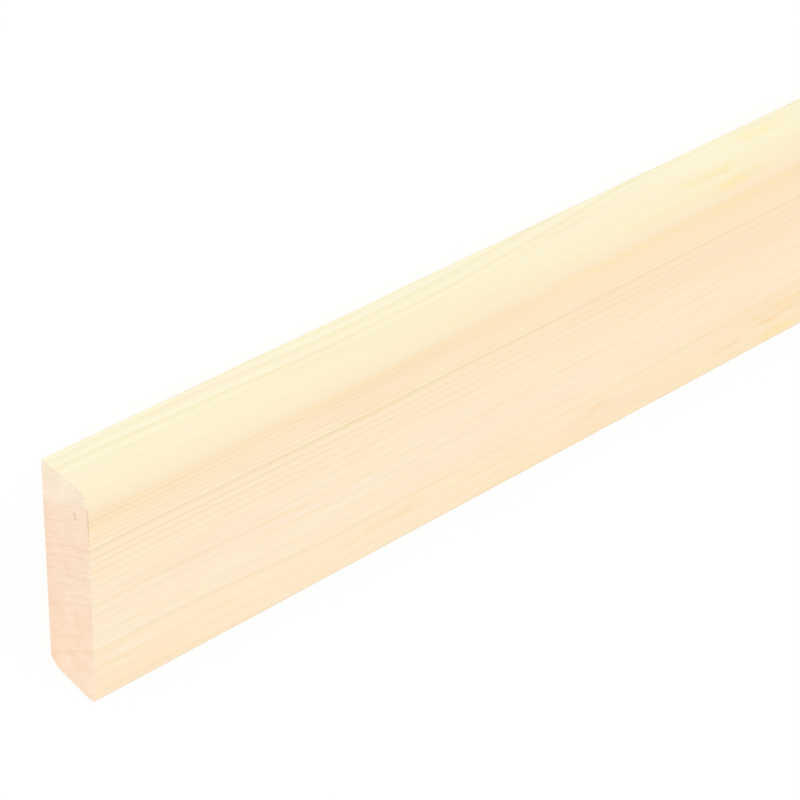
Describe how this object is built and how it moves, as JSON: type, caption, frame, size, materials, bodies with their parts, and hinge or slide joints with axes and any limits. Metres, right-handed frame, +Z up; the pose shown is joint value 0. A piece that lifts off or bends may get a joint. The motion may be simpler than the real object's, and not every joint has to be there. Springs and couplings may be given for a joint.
{
  "type": "planed batten",
  "caption": "Straight length of planed softwood with a flat section, one rounded long edge, a chamfered back edge and square-cut ends, used as trim or a fixing batten.",
  "frame": {"origin": "centre of the flat back face's bounding rectangle, where the batten lies on a level floor", "axes": "+X along the length, +Y across the width towards the rounded long edge, +Z up through the thickness, out of the show face"},
  "size_m": [1, 0.043, 0.012],
  "materials": {
    "planed_pine": "bare planed pale softwood, straight grain, no knots"
  },
  "bodies": {
    "root": {"planed_batten": "planed_pine"}
  },
  "joints": []
}
